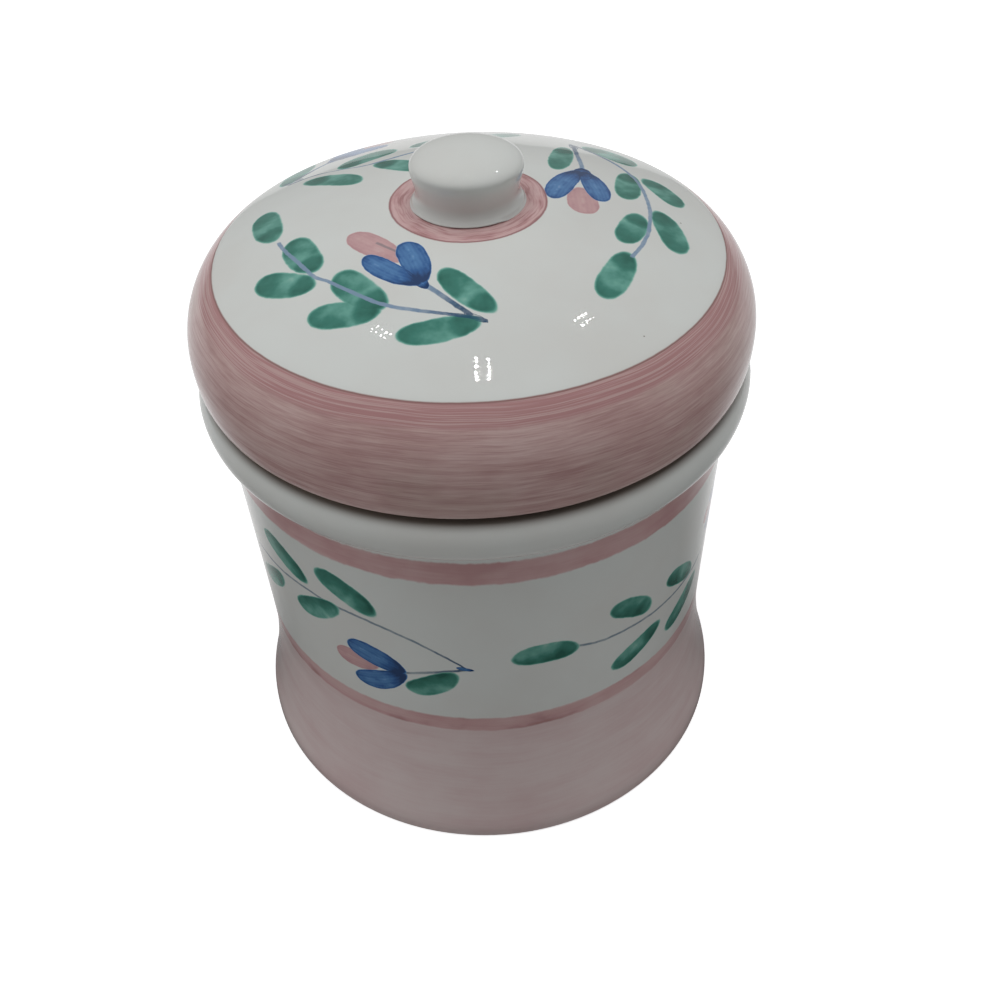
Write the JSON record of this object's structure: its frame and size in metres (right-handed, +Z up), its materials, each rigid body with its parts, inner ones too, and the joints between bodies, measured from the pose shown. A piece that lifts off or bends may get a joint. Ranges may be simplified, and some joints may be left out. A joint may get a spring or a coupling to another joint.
{
  "type": "canister",
  "caption": "Round glazed earthenware food canister with a waisted body on a flared foot, a rolled collar, and a loose domed lid with a knob and a soft sealing ring.",
  "frame": {"origin": "centre of the jar's foot ring, on the surface that it stands on", "axes": "+Z up along the turning axis, the way the lid lifts; -Y is the side that the picture shows"},
  "size_m": [0.1566, 0.1566, 0.1938],
  "materials": {
    "jar_glaze": "gloss",
    "lid_glaze": "gloss",
    "knob_glaze": "gloss",
    "soft_seal": "matte"
  },
  "bodies": {
    "jar": {"jar_body": "jar_glaze"},
    "seal": {"lid_seal": "soft_seal"},
    "lid": {"lid_shell": "lid_glaze", "lid_knob": "knob_glaze"}
  },
  "joints": [
    {"name": "lid_lift", "type": "slide", "parent": "jar", "child": "seal", "axis": [0, 0, 1], "range_m": [0, 0.15]},
    {"name": "lid_turn", "type": "hinge", "parent": "seal", "child": "lid", "pos_m": [0, 0, 0.1381], "axis": [0, 0, 1], "continuous": true}
  ]
}
